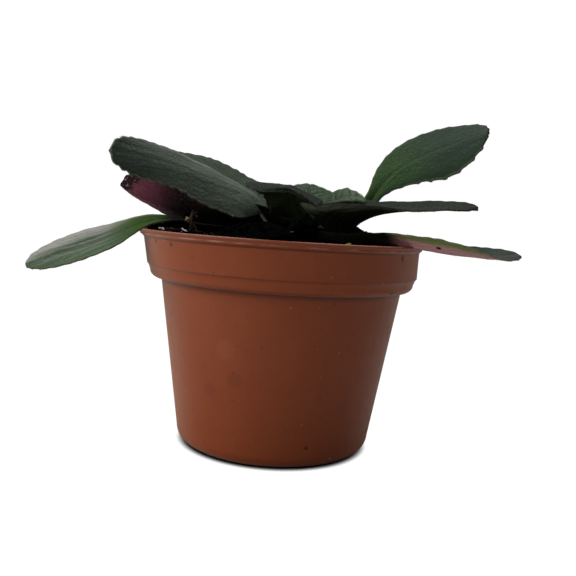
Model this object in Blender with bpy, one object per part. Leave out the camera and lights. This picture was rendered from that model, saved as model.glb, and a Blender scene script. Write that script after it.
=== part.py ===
"""Potted primulina: a low rosette of thick hairy leaves in a round plastic nursery pot.

Units are metres and +Z is up. The origin is the middle of the pot's flat base, so the
whole object stands on Z = 0. +Y points to the back of the plant and +X to its right.
Every leaf is its own solid, set 0.3 mm from the short stem that carries it.
"""
import math

import bmesh
import bpy
from mathutils import Vector

MM = 0.001
GAP = 0.3 * MM  # clearance between pieces that touch on the real plant

# Pot
RIM_RADIUS = 52.5 * MM
POT_HEIGHT = 78.1 * MM
LIP_HEIGHT = 1.6 * MM
LIP_OVERHANG = 0.45 * MM
LIP_ROUNDING = 0.4 * MM
COLLAR_STEP_Z = 66.6 * MM
COLLAR_STEP_RADIUS = 50.9 * MM
COLLAR_STEP_DEPTH = 0.5 * MM
COLLAR_BOTTOM_Z = 61.6 * MM
COLLAR_CORNER = 2.6 * MM
COLLAR_TUCK = 0.7 * MM  # how far the corner's arc sits in from the band
BODY_TOP_RADIUS = 45.5 * MM
BODY_FOOT_RADIUS = 36.2 * MM
FOOT_CORNER = 5.3 * MM
WALL = 1.2 * MM
FLOOR = 1.4 * MM
INNER_SHELF_DROP = 0.6 * MM
FOOT_RING_INNER = 26.0 * MM
CENTRE_PAD_RADIUS = 10.0 * MM
CHANNEL_HEIGHT = 1.2 * MM
DRAIN_HOLES = 6
DRAIN_HOLE_RADIUS = 2.4 * MM
DRAIN_CIRCLE_RADIUS = 19.0 * MM
DRAIN_PIN_LENGTH = 8.0 * MM
POT_SEGMENTS = 64

# Soil
SOIL_EDGE_Z = 76.6 * MM
SOIL_MOUND = 1.6 * MM
SOIL_ROUGHNESS = 0.45 * MM
SOIL_LUMP_LENGTHS = (4.1 * MM, 3.3 * MM, 2.3 * MM, 2.9 * MM)
FINE_LUMP_SHARE = 0.6
SOIL_RINGS = 9
SOIL_SEGMENTS = 48
CROWN_HOLLOW_RADIUS = 15.0 * MM
CROWN_HOLLOW_DEPTH = 2.6 * MM

# Crown stem
STEM_CENTRE = (10.6 * MM, -0.4 * MM)
STEM_FOOT_Z = 66.0 * MM
STEM_TOP_Z = 88.4 * MM
STEM_RADIUS = 6.0 * MM
STEM_SHAPE = ((0.55, 0.0), (0.85, 0.22), (1.0, 0.45), (0.95, 0.62), (0.75, 0.87), (0.4, 0.975))
STEM_SEGMENTS = 20

# Leaf blade
LEAF_ROWS = 18
LEAF_COLUMNS = 6
MARGIN_THICKNESS = 0.7 * MM
BLADE_SWELL = 0.3 * MM
KEEL_AT_STALK = 1.3 * MM
KEEL_AT_TIP = 0.2 * MM
KEEL_RUN_OUT = 1.3  # the keel has faded to its tip depth at 1 / 1.3 of the length
MIDRIB_STEPS = 80
TIP_HALF_WIDTH = 0.7 * MM

# One entry per leaf. root is where the leaf stalk meets the stem, in mm. heading turns
# anticlockwise from +X seen from above, rise is the climb, roll lifts the right-hand
# margin, and the folds lift each half from the midrib. All are degrees, spaced evenly
# from root to tip. Lengths and widths are mm. widest and stalk_end are shares of length.
LEAVES = {
    "leaf_left_drooping": dict(
        root=(4.0, -2.0, 78.6), heading=(197, 190, 206), rise=(9, 1, 9, -27, -23, -18),
        roll=(-1, 2, 17, 26), right_fold=(20, 3, 5), left_fold=(19, 6, 10),
        length=99.5, width=25.5, widest=0.73, stalk_end=0.41, stalk_width=5.5),
    "leaf_upper_left": dict(
        root=(5.1, -6.4, 81.6), heading=(161, 264), rise=(17, 29, 8, -6),
        roll=(18, 44, 82), right_fold=(5, -8), left_fold=(-1, -22),
        length=88.5, width=22.0, widest=0.34, stalk_end=0.22, stalk_width=6.0),
    "leaf_left_purple": dict(
        root=(3.8, 2.4, 83.8), heading=(179, 160), rise=(-9, 7, 13, 21),
        roll=(0, -22, -35), right_fold=(15, 4, 6), left_fold=(9, 3, 5),
        length=74.0, width=26.5, widest=0.63, stalk_end=0.24, stalk_width=6.0),
    "leaf_back_left": dict(
        root=(7.2, 4.2, 85.6), heading=(151, 151), rise=(24, 16, 21, 16),
        roll=(17, 20, 27), right_fold=(17, 2, 3), left_fold=(15, 2, 3),
        length=75.0, width=25.5, widest=0.54, stalk_end=0.20, stalk_width=6.0),
    "leaf_front_arched": dict(
        root=(9.2, -5.4, 85.2), heading=(-113, -95), rise=(42, 18, 4, -16),
        roll=(-6, 5), right_fold=(4, -8), left_fold=(7, -18),
        length=45.5, width=29.0, widest=0.73, stalk_end=0.30, stalk_width=5.0),
    "leaf_young_back": dict(
        root=(11.0, 4.2, 86.0), heading=(88, 85), rise=(44, 23, 23),
        roll=(-1, -7), right_fold=(24, 1), left_fold=(24, 3),
        length=30.5, width=16.0, widest=0.60, stalk_end=0.20, stalk_width=4.0),
    "leaf_young_right": dict(
        root=(15.6, 0.4, 87.2), heading=(6, 12), rise=(60, 22, 4),
        roll=(-9, -14), right_fold=(-6, -23), left_fold=(24, 23),
        length=19.5, width=17.0, widest=0.50, stalk_end=0.15, stalk_width=4.5),
    "leaf_upper_right": dict(
        root=(17.0, 2.8, 81.7), heading=(48, -34), rise=(11, 58, 25, 22), roll=(-46, -42),
        right_fold=(19, -6, -8), left_fold=(22, 3, -11),
        length=80.5, width=32.5, widest=0.79, stalk_end=0.29, stalk_width=6.0),
    "leaf_right_level": dict(
        root=(17.6, -3.4, 80.6), heading=(-8, -21), rise=(38, 21, 0, 6),
        roll=(-12, -6), right_fold=(46, 3, 8), left_fold=(53, -2, 16),
        length=54.5, width=26.0, widest=0.41, stalk_end=0.09, stalk_width=7.0),
    "leaf_right_drooping": dict(
        root=(15.4, -7.4, 78.6), heading=(-21, 16), rise=(8, 0, -13, 14), roll=(-2, 1, -16),
        right_fold=(22, 15, 14), left_fold=(25, 18, 8),
        length=74.0, width=22.5, widest=0.60, stalk_end=0.21, stalk_width=6.0),
    "leaf_back_right": dict(
        root=(16.2, 5.8, 79.0), heading=(48, 56), rise=(8, 1, -8, -18), roll=(0, 0),
        right_fold=(18, 4, 4), left_fold=(18, 4, 4),
        length=64.0, width=23.0, widest=0.68, stalk_end=0.34, stalk_width=6.0),
    "leaf_back_middle": dict(
        root=(11.0, 6.8, 79.8), heading=(98, 92), rise=(12, 9, 3, -4), roll=(0, 0),
        right_fold=(18, 4, 4), left_fold=(18, 4, 4),
        length=66.0, width=24.0, widest=0.64, stalk_end=0.26, stalk_width=6.0),
    "leaf_back_low_left": dict(
        root=(5.0, 5.4, 78.8), heading=(134, 122), rise=(8, 6, -4, -12), roll=(4, 4),
        right_fold=(18, 4, 4), left_fold=(18, 4, 4),
        length=76.0, width=25.0, widest=0.66, stalk_end=0.30, stalk_width=6.0),
}

# Small pieces that stand in the soil
DRY_STALK_FOOT = (-33.4 * MM, -19.0 * MM)
DRY_STALK_POINTS = ((0.0, 0.0), (0.6, 2.6), (0.3, 5.2), (-0.7, 7.8))  # sideways and up, mm
DRY_STALK_RADIUS = 0.9 * MM
YELLOW_TIP_CENTRE = (19.0 * MM, -39.5 * MM)
YELLOW_TIP_SIZE = (3.4 * MM, 1.6 * MM, 2.6 * MM)

GREEN = (0.060, 0.095, 0.060)
YOUNG_GREEN = (0.120, 0.190, 0.110)
PURPLE = (0.080, 0.030, 0.040)
TERRACOTTA = (0.210, 0.065, 0.030)
PEAT = (0.012, 0.009, 0.007)
BARK = (0.060, 0.050, 0.025)
STRAW = (0.200, 0.120, 0.060)
YELLOW = (0.450, 0.480, 0.060)


def clear_scene():
    """Empty the scene of the objects that a new file starts with."""
    for thing in list(bpy.data.objects):
        bpy.data.objects.remove(thing)


def make_material(name, colour, roughness):
    """A plain Principled material in one colour."""
    material = bpy.data.materials.new(name)
    material.use_nodes = True
    shader = material.node_tree.nodes["Principled BSDF"]
    shader.inputs["Base Color"].default_value = (*colour, 1.0)
    shader.inputs["Roughness"].default_value = roughness
    shader.inputs["Metallic"].default_value = 0.0
    return material


def make_object(name, bm, material, sharp_angle=40):
    """Turn a bmesh into a smooth-shaded object and free the bmesh."""
    mesh = bpy.data.meshes.new(name)
    bm.to_mesh(mesh)
    bm.free()
    mesh.shade_smooth()
    mesh.set_sharp_from_angle(angle=math.radians(sharp_angle))
    mesh.materials.append(material)
    thing = bpy.data.objects.new(name, mesh)
    bpy.context.collection.objects.link(thing)
    return thing


def arc(centre_r, centre_z, radius, start, end, steps):
    """Points of an arc in the profile plane, as (r, z), angles in degrees from +r."""
    points = []
    for i in range(steps + 1):
        angle = math.radians(start + (end - start) * i / steps)
        points.append((centre_r + radius * math.cos(angle), centre_z + radius * math.sin(angle)))
    return points


def spun_solid(profile, segments):
    """Turn a profile that starts and ends on the Z axis into a closed solid."""
    bm = bmesh.new()
    verts = [bm.verts.new((r, 0.0, z)) for r, z in profile]
    edges = [bm.edges.new(pair) for pair in zip(verts, verts[1:])]
    bmesh.ops.spin(bm, geom=verts + edges, cent=(0, 0, 0), axis=(0, 0, 1),
                   angle=math.tau, steps=segments, use_merge=True)
    bmesh.ops.remove_doubles(bm, verts=bm.verts, dist=0.01 * MM)
    bmesh.ops.recalc_face_normals(bm, faces=bm.faces)
    return bm


def body_radius(z):
    """Outer radius of the tapered pot body at a height."""
    return BODY_FOOT_RADIUS + (BODY_TOP_RADIUS - BODY_FOOT_RADIUS) * z / COLLAR_BOTTOM_Z


def pot_outer_profile():
    """Outer wall from the middle of the base up to the lip, as (r, z)."""
    channel_outer = FOOT_RING_INNER - CHANNEL_HEIGHT
    channel_inner = CENTRE_PAD_RADIUS + CHANNEL_HEIGHT
    points = [(0.0, 0.0), (CENTRE_PAD_RADIUS, 0.0), (channel_inner, CHANNEL_HEIGHT),
              (channel_outer, CHANNEL_HEIGHT), (FOOT_RING_INNER, 0.0)]
    corner_r = body_radius(FOOT_CORNER) - FOOT_CORNER
    points += arc(corner_r, FOOT_CORNER, FOOT_CORNER, -90, 0, 5)
    points += [(body_radius(COLLAR_BOTTOM_Z * 0.5), COLLAR_BOTTOM_Z * 0.5),
               (BODY_TOP_RADIUS, COLLAR_BOTTOM_Z)]
    lower_band = COLLAR_STEP_RADIUS - COLLAR_STEP_DEPTH
    points += arc(lower_band - COLLAR_CORNER - COLLAR_TUCK, COLLAR_BOTTOM_Z + COLLAR_CORNER,
                  COLLAR_CORNER, -90, 0, 4)
    points += [(lower_band, COLLAR_STEP_Z - COLLAR_STEP_DEPTH),
               (COLLAR_STEP_RADIUS, COLLAR_STEP_Z)]
    groove_z = POT_HEIGHT - LIP_HEIGHT
    points += [(RIM_RADIUS - LIP_OVERHANG, groove_z), (RIM_RADIUS, groove_z + LIP_OVERHANG)]
    points += [(RIM_RADIUS, POT_HEIGHT - LIP_ROUNDING), (RIM_RADIUS - LIP_ROUNDING, POT_HEIGHT)]
    return points


def pot_inner_profile():
    """Inner wall from the lip down to the middle of the floor, as (r, z)."""
    floor_z = CHANNEL_HEIGHT + FLOOR
    shelf_z = COLLAR_BOTTOM_Z + WALL
    lower_band = COLLAR_STEP_RADIUS - COLLAR_STEP_DEPTH - WALL
    inner_foot_r = body_radius(FOOT_CORNER) - WALL
    return [(RIM_RADIUS - WALL - LIP_ROUNDING, POT_HEIGHT),
            (RIM_RADIUS - WALL - LIP_OVERHANG, POT_HEIGHT - LIP_HEIGHT),
            (COLLAR_STEP_RADIUS - WALL, COLLAR_STEP_Z),
            (lower_band, COLLAR_STEP_Z - COLLAR_STEP_DEPTH),
            (lower_band - COLLAR_CORNER, shelf_z),
            (BODY_TOP_RADIUS - WALL, shelf_z - INNER_SHELF_DROP),
            (inner_foot_r, FOOT_CORNER + floor_z),
            (inner_foot_r - FOOT_CORNER / 2, floor_z),
            (0.0, floor_z)]


def add_boolean(thing, cutter):
    """Cut one object with another, which then only guides the shape."""
    modifier = thing.modifiers.new(cutter.name, "BOOLEAN")
    modifier.operation = "DIFFERENCE"
    modifier.object = cutter
    cutter.hide_render = True
    cutter.display_type = "WIRE"


def drain_hole_cutter():
    """A ring of short pins that pass through the pot floor."""
    bm = bmesh.new()
    for i in range(DRAIN_HOLES):
        angle = math.tau * (i + 0.5) / DRAIN_HOLES
        made = bmesh.ops.create_cone(bm, cap_ends=True, segments=16, radius1=DRAIN_HOLE_RADIUS,
                                     radius2=DRAIN_HOLE_RADIUS, depth=DRAIN_PIN_LENGTH)
        place = Vector((DRAIN_CIRCLE_RADIUS * math.cos(angle),
                        DRAIN_CIRCLE_RADIUS * math.sin(angle), CHANNEL_HEIGHT))
        bmesh.ops.translate(bm, verts=made["verts"], vec=place)
    return bm


def make_pot(material):
    """The moulded pot: lip, stepped collar, tapered body, foot ring and drain holes."""
    bm = spun_solid(pot_outer_profile() + pot_inner_profile(), POT_SEGMENTS)
    pot = make_object("pot", bm, material, sharp_angle=30)
    cutter = make_object("drain_hole_cutter", drain_hole_cutter(), material)
    add_boolean(pot, cutter)
    return pot


def soil_height(x, y):
    """Height of the mounded soil surface at a place inside the pot."""
    edge_radius = RIM_RADIUS - WALL - GAP
    share = min(1.0, math.hypot(x, y) / edge_radius)
    mound = SOIL_MOUND * (1.0 - share * share)
    from_stem = math.hypot(x - STEM_CENTRE[0], y - STEM_CENTRE[1]) / CROWN_HOLLOW_RADIUS
    hollow = CROWN_HOLLOW_DEPTH * math.exp(-from_stem * from_stem)
    wide_x, wide_y, fine_sum, fine_difference = SOIL_LUMP_LENGTHS
    lumps = math.sin(x / wide_x + 1.0) * math.sin(y / wide_y)
    lumps += FINE_LUMP_SHARE * math.sin((x + y) / fine_sum) * math.cos((x - y) / fine_difference)
    return SOIL_EDGE_Z + mound - hollow + SOIL_ROUGHNESS * lumps * (1.0 - share ** 4)


def soil_profile():
    """The soil plug's flank and top, clear of the pot's inner wall, as (r, z)."""
    inside = [point for point in reversed(pot_inner_profile()) if point[1] < SOIL_EDGE_Z]
    clear = GAP * 1.5  # the wall slants, so more than the gap is taken off its radius
    flank = [(max(0.0, r - clear), z + GAP) for r, z in inside[:-1]]
    top_radius = inside[-1][0] - clear
    rings = [(top_radius * (SOIL_RINGS - i) / SOIL_RINGS, SOIL_EDGE_Z) for i in range(SOIL_RINGS + 1)]
    return flank + rings


def stem_profile(grow):
    """Short thick stem, from its foot in the soil to its rounded top, as (r, z)."""
    height = STEM_TOP_Z - STEM_FOOT_Z
    foot_z = STEM_FOOT_Z - grow
    side = [(STEM_RADIUS * wide + grow, STEM_FOOT_Z + height * up) for wide, up in STEM_SHAPE]
    side[0] = (side[0][0], foot_z)
    return [(0.0, foot_z)] + side + [(0.0, STEM_TOP_Z + grow)]


def stem_solid(grow):
    """The stem, or the pocket it stands in when grow is the clearance."""
    bm = spun_solid(stem_profile(grow), STEM_SEGMENTS)
    bmesh.ops.translate(bm, verts=bm.verts, vec=(*STEM_CENTRE, 0.0))
    return bm


def make_soil(material):
    """The peat plug that fills the pot, mounded and lumpy on top."""
    bm = spun_solid(soil_profile(), SOIL_SEGMENTS)
    for vert in bm.verts:
        if abs(vert.co.z - SOIL_EDGE_Z) < 0.01 * MM:
            vert.co.z = soil_height(vert.co.x, vert.co.y)
    soil = make_object("potting_soil", bm, material, sharp_angle=60)
    cutter = make_object("stem_pocket_cutter", stem_solid(GAP), material)
    add_boolean(soil, cutter)
    return soil


def along(values, share):
    """Read evenly spaced values at a share of the leaf's length."""
    place = share * (len(values) - 1)
    low = min(int(place), len(values) - 2)
    return values[low] + (values[low + 1] - values[low]) * (place - low)


def half_width(leaf, share):
    """Half the leaf's width at a share of its length: a stalk, then a round-tipped blade."""
    stalk = leaf["stalk_width"] / 2 * math.sqrt(1.0 - share)
    blade = 0.0
    if share > leaf["stalk_end"]:
        s = (share - leaf["stalk_end"]) / (1.0 - leaf["stalk_end"])
        peak = (leaf["widest"] - leaf["stalk_end"]) / (1.0 - leaf["stalk_end"])
        power = 0.5 * peak / (1.0 - peak)
        shape = (s / peak) ** power * math.sqrt((1.0 - s) / (1.0 - peak))
        blade = leaf["width"] / 2 * shape
    return max(stalk * MM, blade * MM, TIP_HALF_WIDTH)


def midrib(leaf):
    """Follow the midrib from the root: a list of (point, side, up) stations."""
    steps = MIDRIB_STEPS
    point = Vector(leaf["root"]) * MM
    stations = []
    for i in range(steps + 1):
        share = i / steps
        heading = math.radians(along(leaf["heading"], share))
        rise = math.radians(along(leaf["rise"], share))
        roll = math.radians(along(leaf["roll"], share))
        ahead = Vector((math.cos(rise) * math.cos(heading), math.cos(rise) * math.sin(heading),
                        math.sin(rise)))
        level_side = ahead.cross(Vector((0, 0, 1))).normalized()
        level_up = level_side.cross(ahead)
        side = level_side * math.cos(roll) + level_up * math.sin(roll)
        up = level_up * math.cos(roll) - level_side * math.sin(roll)
        stations.append((point.copy(), side, up))
        point += ahead * (leaf["length"] * MM / steps)
    return stations


def leaf_point(leaf, stations, share, across, top):
    """A point of the leaf's top or bottom surface; across runs from -1 left to 1 right."""
    place = share * (len(stations) - 1)
    low = min(int(place), len(stations) - 2)
    blend = place - low
    point, side, up = (a.lerp(b, blend) for a, b in zip(stations[low], stations[low + 1]))
    fold = leaf["right_fold"] if across > 0 else leaf["left_fold"]
    angle = math.radians(along(fold, share))
    reach = half_width(leaf, share) * abs(across)
    outward = math.copysign(math.cos(angle), across)
    point = point + side * (reach * outward) + up * (reach * math.sin(angle))
    inside = 1.0 - across * across
    if top:
        return point + up * (MARGIN_THICKNESS / 2 + BLADE_SWELL * inside)
    keel = KEEL_AT_STALK + (KEEL_AT_TIP - KEEL_AT_STALK) * min(1.0, share * KEEL_RUN_OUT)
    return point - up * (MARGIN_THICKNESS / 2 + BLADE_SWELL * inside + keel * inside ** 3)


def make_leaf(name, leaf, material):
    """One leaf as a closed solid: a bent grid for its top and a keeled copy below."""
    stations = midrib(leaf)
    bm = bmesh.new()
    bmesh.ops.create_grid(bm, x_segments=LEAF_COLUMNS, y_segments=LEAF_ROWS, size=1.0)
    top = list(bm.verts)
    copied = bmesh.ops.extrude_face_region(bm, geom=list(bm.faces), use_keep_orig=True)
    bottom = [item for item in copied["geom"] if isinstance(item, bmesh.types.BMVert)]
    for verts, is_top in ((top, True), (bottom, False)):
        for vert in verts:
            # the sine packs the rows closer towards the round tip
            share = math.sin((vert.co.y + 1.0) / 2.0 * math.pi / 2)
            vert.co = leaf_point(leaf, stations, share, vert.co.x, is_top)
    bmesh.ops.recalc_face_normals(bm, faces=bm.faces)
    return make_object(name, bm, material, sharp_angle=50)


def make_dry_stalk(material):
    """What is left of an old leaf: a thin dry stalk standing in the soil."""
    curve = bpy.data.curves.new("dry_leaf_stalk", "CURVE")
    curve.dimensions = "3D"
    curve.bevel_depth = DRY_STALK_RADIUS
    curve.bevel_resolution = 2
    curve.use_fill_caps = True
    spline = curve.splines.new("POLY")
    spline.points.add(len(DRY_STALK_POINTS) - 1)
    foot_x, foot_y = DRY_STALK_FOOT
    foot_z = soil_height(foot_x, foot_y) + GAP + 0.5 * MM
    for point, (sideways, up) in zip(spline.points, DRY_STALK_POINTS):
        point.co = (foot_x + sideways * MM, foot_y, foot_z + up * MM, 1.0)
    curve.materials.append(material)
    stalk = bpy.data.objects.new("dry_leaf_stalk", curve)
    bpy.context.collection.objects.link(stalk)
    return stalk


def make_yellow_tip(material):
    """A small yellow-green leaf tip that stands in the soil behind the front rim."""
    bm = bmesh.new()
    bmesh.ops.create_icosphere(bm, subdivisions=2, radius=0.5)
    bmesh.ops.scale(bm, verts=bm.verts, vec=YELLOW_TIP_SIZE)
    x, y = YELLOW_TIP_CENTRE
    z = soil_height(x, y) + YELLOW_TIP_SIZE[2] / 2 + 2 * GAP
    bmesh.ops.translate(bm, verts=bm.verts, vec=(x, y, z))
    return make_object("yellow_leaf_tip", bm, material)


def build():
    """Make every piece of the potted plant."""
    clear_scene()
    leaf_green = make_material("leaf_green", GREEN, 0.6)
    leaf_young = make_material("leaf_young", YOUNG_GREEN, 0.65)
    leaf_purple = make_material("leaf_purple", PURPLE, 0.6)
    make_pot(make_material("pot_plastic", TERRACOTTA, 0.4))
    make_soil(make_material("peat", PEAT, 0.95))
    make_object("crown_stem", stem_solid(0.0), make_material("stem_bark", BARK, 0.8))
    finishes = {"leaf_left_purple": leaf_purple, "leaf_young_back": leaf_young,
                "leaf_young_right": leaf_young}
    for name, leaf in LEAVES.items():
        make_leaf(name, leaf, finishes.get(name, leaf_green))
    make_dry_stalk(make_material("dry_stalk", STRAW, 0.8))
    make_yellow_tip(make_material("yellow_tissue", YELLOW, 0.5))


build()
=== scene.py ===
"""Looks of a potted primulina, a low rosette of thick hairy leaves in a round plastic pot.

Units are metres and +Z is up. The pot stands on Z = 0 with its axis on Z, and the photograph
was taken from -Y. The sections follow the plant as it is potted: pot, soil, loose bits on
the soil, stem, leaves, a dry stalk and a leaf tip, then the floor, the lights and the camera.
"""
import math
import random

import bmesh
import bpy
from mathutils import Matrix, Vector, noise


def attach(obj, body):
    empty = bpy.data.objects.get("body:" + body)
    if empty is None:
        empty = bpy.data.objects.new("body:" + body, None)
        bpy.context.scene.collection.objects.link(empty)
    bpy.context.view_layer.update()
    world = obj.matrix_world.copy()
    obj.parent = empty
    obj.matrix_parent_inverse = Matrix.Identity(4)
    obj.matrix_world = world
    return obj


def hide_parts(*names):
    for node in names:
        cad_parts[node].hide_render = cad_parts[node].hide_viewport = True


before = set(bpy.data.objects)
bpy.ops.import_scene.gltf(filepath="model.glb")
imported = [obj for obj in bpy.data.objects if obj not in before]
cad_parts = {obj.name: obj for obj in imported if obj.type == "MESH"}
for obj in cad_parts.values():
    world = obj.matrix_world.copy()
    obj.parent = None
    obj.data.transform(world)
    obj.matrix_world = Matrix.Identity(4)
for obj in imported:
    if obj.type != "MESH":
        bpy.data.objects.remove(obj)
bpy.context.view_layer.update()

# Pot
# A thin nursery pot moulded in terracotta-brown polypropylene with a satin skin. It has a
# narrow lip, a deep collar with a small step, a tapered body and a foot ring round six holes.
MM = 0.001
RIM_RADIUS = 52.5
LIP_RADIUS = 53.8
LIP_TOP_Z = 79.0
LIP_PUSHED_LEFT = 1.3
RIDGE_RADIUS = 53.0
RIDGE_Z = 77.35
GROOVE_Z = 76.35
STEP_Z = 66.6
STEP_RADIUS = 50.9
STEP_DEPTH = 0.5
COLLAR_BOTTOM_Z = 61.6
COLLAR_CORNER = 2.6
BODY_TOP_RADIUS = 45.5
BODY_FOOT_RADIUS = 36.2
FOOT_CORNER = 5.3
WALL = 1.2
FLOOR = 1.4
FOOT_RING_INNER = 26.0
CHANNEL_HEIGHT = 1.2
CENTRE_PAD_RADIUS = 10.0
DRAIN_HOLES = 6
DRAIN_HOLE_RADIUS = 2.4
DRAIN_CIRCLE_RADIUS = 19.0


class Signal:
    """A value in a material's node tree. Sums on it add the nodes that work them out."""

    def __init__(self, tree, socket=None):
        self.tree = tree
        self.socket = socket

    def node(self, kind, settings=None, inputs=None, output=0):
        """Add a node: its settings first, then what its sockets hold or are linked to."""
        made = self.tree.nodes.new(kind)
        for name, value in (settings or {}).items():
            setattr(made, name, value)
        for key, value in (inputs or {}).items():
            if isinstance(value, Signal):
                self.tree.links.new(value.socket, made.inputs[key])
            else:
                made.inputs[key].default_value = value
        return Signal(self.tree, made.outputs[output])

    def sum(self, operation, first, second):
        return self.node("ShaderNodeMath", {"operation": operation}, {0: first, 1: second})

    def __add__(self, other):
        return self.sum("ADD", self, other)

    def __radd__(self, other):
        return self.sum("ADD", other, self)

    def __sub__(self, other):
        return self.sum("SUBTRACT", self, other)

    def __rsub__(self, other):
        return self.sum("SUBTRACT", other, self)

    def __mul__(self, other):
        return self.sum("MULTIPLY", self, other)

    def __pow__(self, other):
        return self.sum("POWER", self, other)

    def size(self):
        return self.sum("ABSOLUTE", self, 0.0)

    def axis(self, number):
        """One coordinate of this vector: 0, 1 or 2."""
        return self.node("ShaderNodeSeparateXYZ", None, {0: self}, number)

    def away_from(self, spot):
        """Distance (mm) of this place from a spot given in mm."""
        return self.node("ShaderNodeVectorMath", {"operation": "DISTANCE"},
                         {0: self, 1: Vector(spot) * MM}, "Value") * (1 / MM)

    def step(self, low, high):
        """0 below low, 1 above high and smooth between. It falls where low is above high."""
        return self.node("ShaderNodeMapRange", {"interpolation_type": "SMOOTHSTEP"},
                         {0: self, 1: low, 2: high, 3: 0.0, 4: 1.0})

    def scaled(self, grain, stretch):
        """This place, scaled so that one grain (mm) is 1 wide."""
        return self.node("ShaderNodeMapping", {"vector_type": "POINT"},
                         {0: self, 3: Vector(stretch) / (grain * MM)})

    def noise(self, grain, detail=3.0, stretch=(1, 1, 1), roughness=0.55):
        """Cloudy noise, with clouds about one grain (mm) wide."""
        return self.node("ShaderNodeTexNoise", {"noise_dimensions": "3D"},
                         {"Vector": self.scaled(grain, stretch), "Scale": 1.0, "Detail": detail,
                          "Roughness": roughness})

    def cells(self, grain, feature="F1", stretch=(1, 1, 1)):
        """Distance to the middle or edge of cells about one grain (mm) wide."""
        return self.node("ShaderNodeTexVoronoi", {"feature": feature},
                         {"Vector": self.scaled(grain, stretch), "Scale": 1.0})

    def between(self, low, high):
        """Mix two colours by this mask: low where it is 0 and high where it is 1."""
        low = low if isinstance(low, Signal) else (*low, 1.0)
        high = high if isinstance(high, Signal) else (*high, 1.0)
        return self.node("ShaderNodeMix", {"data_type": "RGBA"}, {0: self, 6: low, 7: high}, 2)

    def coats(self, *layers):
        """Lay colours over this one, each given as (mask, colour), with the last one on top."""
        colour = self
        for mask, tint in layers:
            colour = mask.between(colour, tint)
        return colour

    def bump(self, depth):
        """A normal from this height, which is depth (mm) high where it is 1."""
        return self.node("ShaderNodeBump", None, {"Strength": 1.0, "Distance": depth * MM,
                                                  "Height": self})


def new_finish(name, **constants):
    """A material, the place on its piece (Object coordinates), and its shader."""
    material = bpy.data.materials.new(name)
    material.use_nodes = True
    shader = material.node_tree.nodes["Principled BSDF"]
    for socket, value in constants.items():
        shader.inputs[socket.replace("_", " ")].default_value = value
    place = Signal(material.node_tree).node("ShaderNodeTexCoord", output="Object")
    return material, place, shader


def feed(shader, colour, roughness, normal):
    """Link the three things that vary over a surface."""
    for socket, signal in (("Base Color", colour), ("Roughness", roughness), ("Normal", normal)):
        shader.id_data.links.new(signal.socket, shader.inputs[socket])


def new_mesh(name, bm):
    """Turn a bmesh, which is used up, into a mesh."""
    mesh = bpy.data.meshes.new(name)
    bm.to_mesh(mesh)
    bm.free()
    return mesh


def new_object(name, data):
    """An object at the origin, linked to the scene."""
    made = bpy.data.objects.new(name, data)
    bpy.context.collection.objects.link(made)
    return made


def new_piece(name, bm, material, node=None, sharp=40):
    """Turn a bmesh into a smooth-shaded piece that rides on the plant."""
    mesh = new_mesh(name, bm)
    mesh.shade_smooth()
    mesh.set_sharp_from_angle(angle=math.radians(sharp))
    mesh.materials.append(material)
    piece = new_object(name, mesh)
    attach(piece, "root")
    if node:
        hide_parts(node)
    return piece


def arc(centre_r, centre_z, radius, start, end, steps):
    """Points of an arc in a profile, as (r, z), with angles in degrees from +r."""
    turns = [math.radians(start + (end - start) * i / steps) for i in range(steps + 1)]
    return [(centre_r + radius * math.cos(t), centre_z + radius * math.sin(t)) for t in turns]


def spun(profile, segments):
    """Spin a profile (mm) that starts and ends on the axis into a closed skin."""
    bm = bmesh.new()
    verts = [bm.verts.new((r * MM, 0.0, z * MM)) for r, z in profile]
    edges = [bm.edges.new(pair) for pair in zip(verts, verts[1:])]
    bmesh.ops.spin(bm, geom=verts + edges, cent=(0, 0, 0), axis=(0, 0, 1), angle=math.tau,
                   steps=segments, use_merge=True)
    bmesh.ops.remove_doubles(bm, verts=bm.verts, dist=0.005 * MM)
    bmesh.ops.recalc_face_normals(bm, faces=bm.faces)
    return bm


def soften_edges(bm, turn, offset, segments):
    """Round every edge that turns by more than an angle (degrees)."""
    sharp = [e for e in bm.edges if e.is_manifold and e.calc_face_angle() > math.radians(turn)]
    bmesh.ops.bevel(bm, geom=sharp, offset=offset * MM, offset_type="OFFSET", affect="EDGES",
                    segments=segments, profile=0.5, material=-1)


def body_radius(z):
    return BODY_FOOT_RADIUS + (BODY_TOP_RADIUS - BODY_FOOT_RADIUS) * z / COLLAR_BOTTOM_Z


band = STEP_RADIUS - STEP_DEPTH
pot_outside = [(0, 0), (CENTRE_PAD_RADIUS, 0), (CENTRE_PAD_RADIUS + CHANNEL_HEIGHT, CHANNEL_HEIGHT),
               (FOOT_RING_INNER - CHANNEL_HEIGHT, CHANNEL_HEIGHT), (FOOT_RING_INNER, 0)]
pot_outside += arc(body_radius(FOOT_CORNER) - FOOT_CORNER, FOOT_CORNER, FOOT_CORNER, -90, 0, 10)
pot_outside += [(body_radius(z), z) for z in (12, 24, 36, 48, 57, COLLAR_BOTTOM_Z)]
pot_outside += arc(band - COLLAR_CORNER - 0.7, COLLAR_BOTTOM_Z + COLLAR_CORNER, COLLAR_CORNER,
                   -90, 0, 8)
pot_outside += [(band, STEP_Z - STEP_DEPTH), (STEP_RADIUS, STEP_Z)]
pot_outside += [(RIM_RADIUS + out, GROOVE_Z + up) for out, up in ((-0.75, -0.5), (-0.6, -0.2), (-0.5, 0))]
pot_outside += [(RIDGE_RADIUS + out, RIDGE_Z + up) for out, up in (
    (-0.5, -0.5), (-0.1, -0.25), (0, 0), (-0.05, 0.25), (0.15, 0.5))]
pot_outside += arc(LIP_RADIUS - 0.45, LIP_TOP_Z - 0.45, 0.45, -20, 90, 6)
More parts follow.
